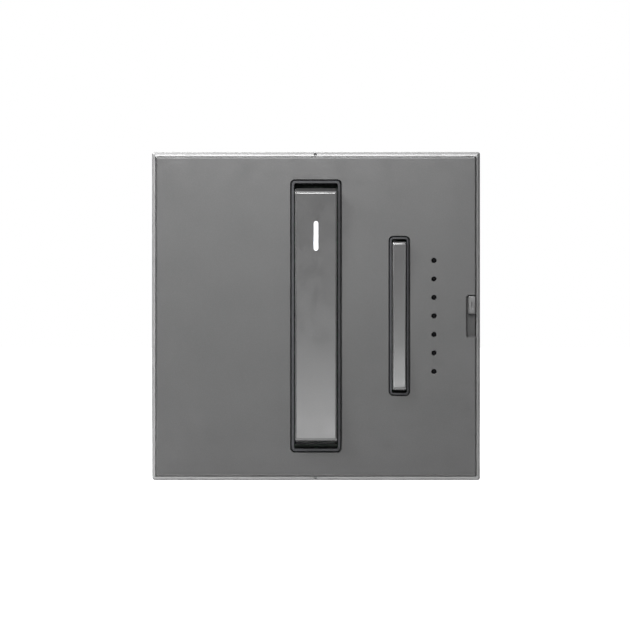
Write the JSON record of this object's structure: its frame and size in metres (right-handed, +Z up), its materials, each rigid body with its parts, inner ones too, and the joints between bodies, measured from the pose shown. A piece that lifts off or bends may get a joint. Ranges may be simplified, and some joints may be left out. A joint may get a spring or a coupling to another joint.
{
  "type": "dimmer switch",
  "caption": "Square graphite wall dimmer module: tall on/off rocker with a lit bar, narrow dimming rocker, a column of level dots and an air-gap slide.",
  "frame": {"origin": "centre of the seat, the plane of the bezel's rear edge, where the module rests on its mounting frame", "axes": "+X to the right seen from the front, +Y into the wall (the controls face -Y), +Z up"},
  "size_m": [0.045, 0.0384, 0.045],
  "materials": {
    "graphite": "satin metallic graphite",
    "silver": "satin silver edge",
    "dark_plastic": "fine moulded texture",
    "smoked": "smoked, polished",
    "lit_white": "lit from behind",
    "light_plastic": "plain",
    "steel": "plated",
    "brass": "plain",
    "copper": "enamelled",
    "aluminium": "rolled",
    "board": "solder mask",
    "black_epoxy": "moulded",
    "ferrite": "painted",
    "blue_epoxy": "dipped"
  },
  "bodies": {
    "module": {"bezel_frame": "silver", "face_plate": "graphite", "rocker_collar": "dark_plastic", "dimmer_collar": "dark_plastic", "rear_housing": "dark_plastic", "level_light_guide": "smoked", "rocker_pivot_pin": "steel", "dimmer_pivot_pin": "steel", "transistor_screw_left": "steel", "transistor_screw_right": "steel", "housing_screw_1": "steel", "housing_screw_2": "steel", "housing_screw_3": "steel", "housing_screw_4": "steel", "control_board": "board", "power_board": "board", "on_switch": "black_epoxy", "off_switch": "black_epoxy", "raise_switch": "black_epoxy", "lower_switch": "black_epoxy", "board_header": "black_epoxy", "power_transistor_left": "black_epoxy", "power_transistor_right": "black_epoxy", "bulk_capacitor": "black_epoxy", "fuse": "black_epoxy", "level_led_1": "light_plastic", "level_led_2": "light_plastic", "level_led_3": "light_plastic", "level_led_4": "light_plastic", "level_led_5": "light_plastic", "level_led_6": "light_plastic", "level_led_7": "light_plastic", "rocker_led": "light_plastic", "film_capacitor": "light_plastic", "choke_winding": "copper", "air_gap_contact_upper": "brass", "air_gap_contact_lower": "brass", "terminal_busbar_1": "brass", "terminal_busbar_2": "brass", "terminal_busbar_3": "brass", "heat_sink_yoke": "aluminium", "choke_core": "ferrite", "surge_absorber": "blue_epoxy"},
    "on_off_rocker": {"on_off_rocker": "graphite", "rocker_indicator": "lit_white"},
    "dimmer_rocker": {"dimmer_rocker": "graphite"},
    "air_gap_slider": {"air_gap_tab": "graphite", "air_gap_bridge": "copper"},
    "upper_latch": {"upper_latch": "steel"},
    "lower_latch": {"lower_latch": "steel"},
    "on_plunger": {"on_plunger": "light_plastic"},
    "off_plunger": {"off_plunger": "light_plastic"},
    "raise_plunger": {"raise_plunger": "light_plastic"},
    "lower_plunger": {"lower_plunger": "light_plastic"},
    "terminal_screw_1": {"terminal_screw_1": "steel"},
    "terminal_cage_1": {"terminal_cage_1": "brass"},
    "terminal_screw_2": {"terminal_screw_2": "steel"},
    "terminal_cage_2": {"terminal_cage_2": "brass"},
    "terminal_screw_3": {"terminal_screw_3": "steel"},
    "terminal_cage_3": {"terminal_cage_3": "brass"}
  },
  "joints": [
    {"name": "rocker_tilt", "type": "hinge", "parent": "module", "child": "on_off_rocker", "pos_m": [0, -0.0059, 0], "axis": [-1, 0, 0], "range_deg": [-2, 2], "stiffness_Nm_per_rad": 0.6},
    {"name": "dimmer_tilt", "type": "hinge", "parent": "module", "child": "dimmer_rocker", "pos_m": [0.01143, -0.006, 0], "axis": [-1, 0, 0], "range_deg": [-3, 3], "stiffness_Nm_per_rad": 0.26},
    {"name": "air_gap_slide", "type": "slide", "parent": "module", "child": "air_gap_slider", "axis": [0, 0, -1], "range_m": [0, 0.0028]},
    {"name": "upper_latch_swing", "type": "hinge", "parent": "module", "child": "upper_latch", "pos_m": [0, 0.0108, 0.02075], "axis": [1, 0, 0], "range_deg": [0, 6.5], "stiffness_Nm_per_rad": 0.3},
    {"name": "lower_latch_swing", "type": "hinge", "parent": "module", "child": "lower_latch", "pos_m": [0, 0.0108, -0.02075], "axis": [-1, 0, 0], "range_deg": [0, 6.5], "stiffness_Nm_per_rad": 0.3},
    {"name": "on_press", "type": "slide", "parent": "module", "child": "on_plunger", "axis": [0, 1, 0], "range_m": [-0.00055, 0.00055]},
    {"name": "off_press", "type": "slide", "parent": "module", "child": "off_plunger", "axis": [0, 1, 0], "range_m": [-0.00055, 0.00055]},
    {"name": "raise_press", "type": "slide", "parent": "module", "child": "raise_plunger", "axis": [0, 1, 0], "range_m": [-0.0004, 0.0004]},
    {"name": "lower_press", "type": "slide", "parent": "module", "child": "lower_plunger", "axis": [0, 1, 0], "range_m": [-0.0004, 0.0004]},
    {"name": "terminal_screw_1_turn", "type": "hinge", "parent": "module", "child": "terminal_screw_1", "pos_m": [-0.011, 0.02, -0.0185], "axis": [0, 0, 1], "range_deg": [0, 1561]},
    {"name": "terminal_cage_1_rise", "type": "slide", "parent": "module", "child": "terminal_cage_1", "axis": [0, 0, -1], "range_m": [0, 0.00195]},
    {"name": "terminal_screw_2_turn", "type": "hinge", "parent": "module", "child": "terminal_screw_2", "pos_m": [0, 0.02, -0.0185], "axis": [0, 0, 1], "range_deg": [0, 1561]},
    {"name": "terminal_cage_2_rise", "type": "slide", "parent": "module", "child": "terminal_cage_2", "axis": [0, 0, -1], "range_m": [0, 0.00195]},
    {"name": "terminal_screw_3_turn", "type": "hinge", "parent": "module", "child": "terminal_screw_3", "pos_m": [0.011, 0.02, -0.0185], "axis": [0, 0, 1], "range_deg": [0, 1561]},
    {"name": "terminal_cage_3_rise", "type": "slide", "parent": "module", "child": "terminal_cage_3", "axis": [0, 0, -1], "range_m": [0, 0.00195]}
  ],
  "couplings": [
    {"joint": "on_press", "follows": "rocker_tilt", "m_per_rad": 0.015},
    {"joint": "off_press", "follows": "rocker_tilt", "m_per_rad": -0.015},
    {"joint": "raise_press", "follows": "dimmer_tilt", "m_per_rad": 0.007},
    {"joint": "lower_press", "follows": "dimmer_tilt", "m_per_rad": -0.007},
    {"joint": "terminal_screw_1_turn", "follows": "terminal_cage_1_rise", "rad_per_m": 13963},
    {"joint": "terminal_screw_2_turn", "follows": "terminal_cage_2_rise", "rad_per_m": 13963},
    {"joint": "terminal_screw_3_turn", "follows": "terminal_cage_3_rise", "rad_per_m": 13963}
  ]
}
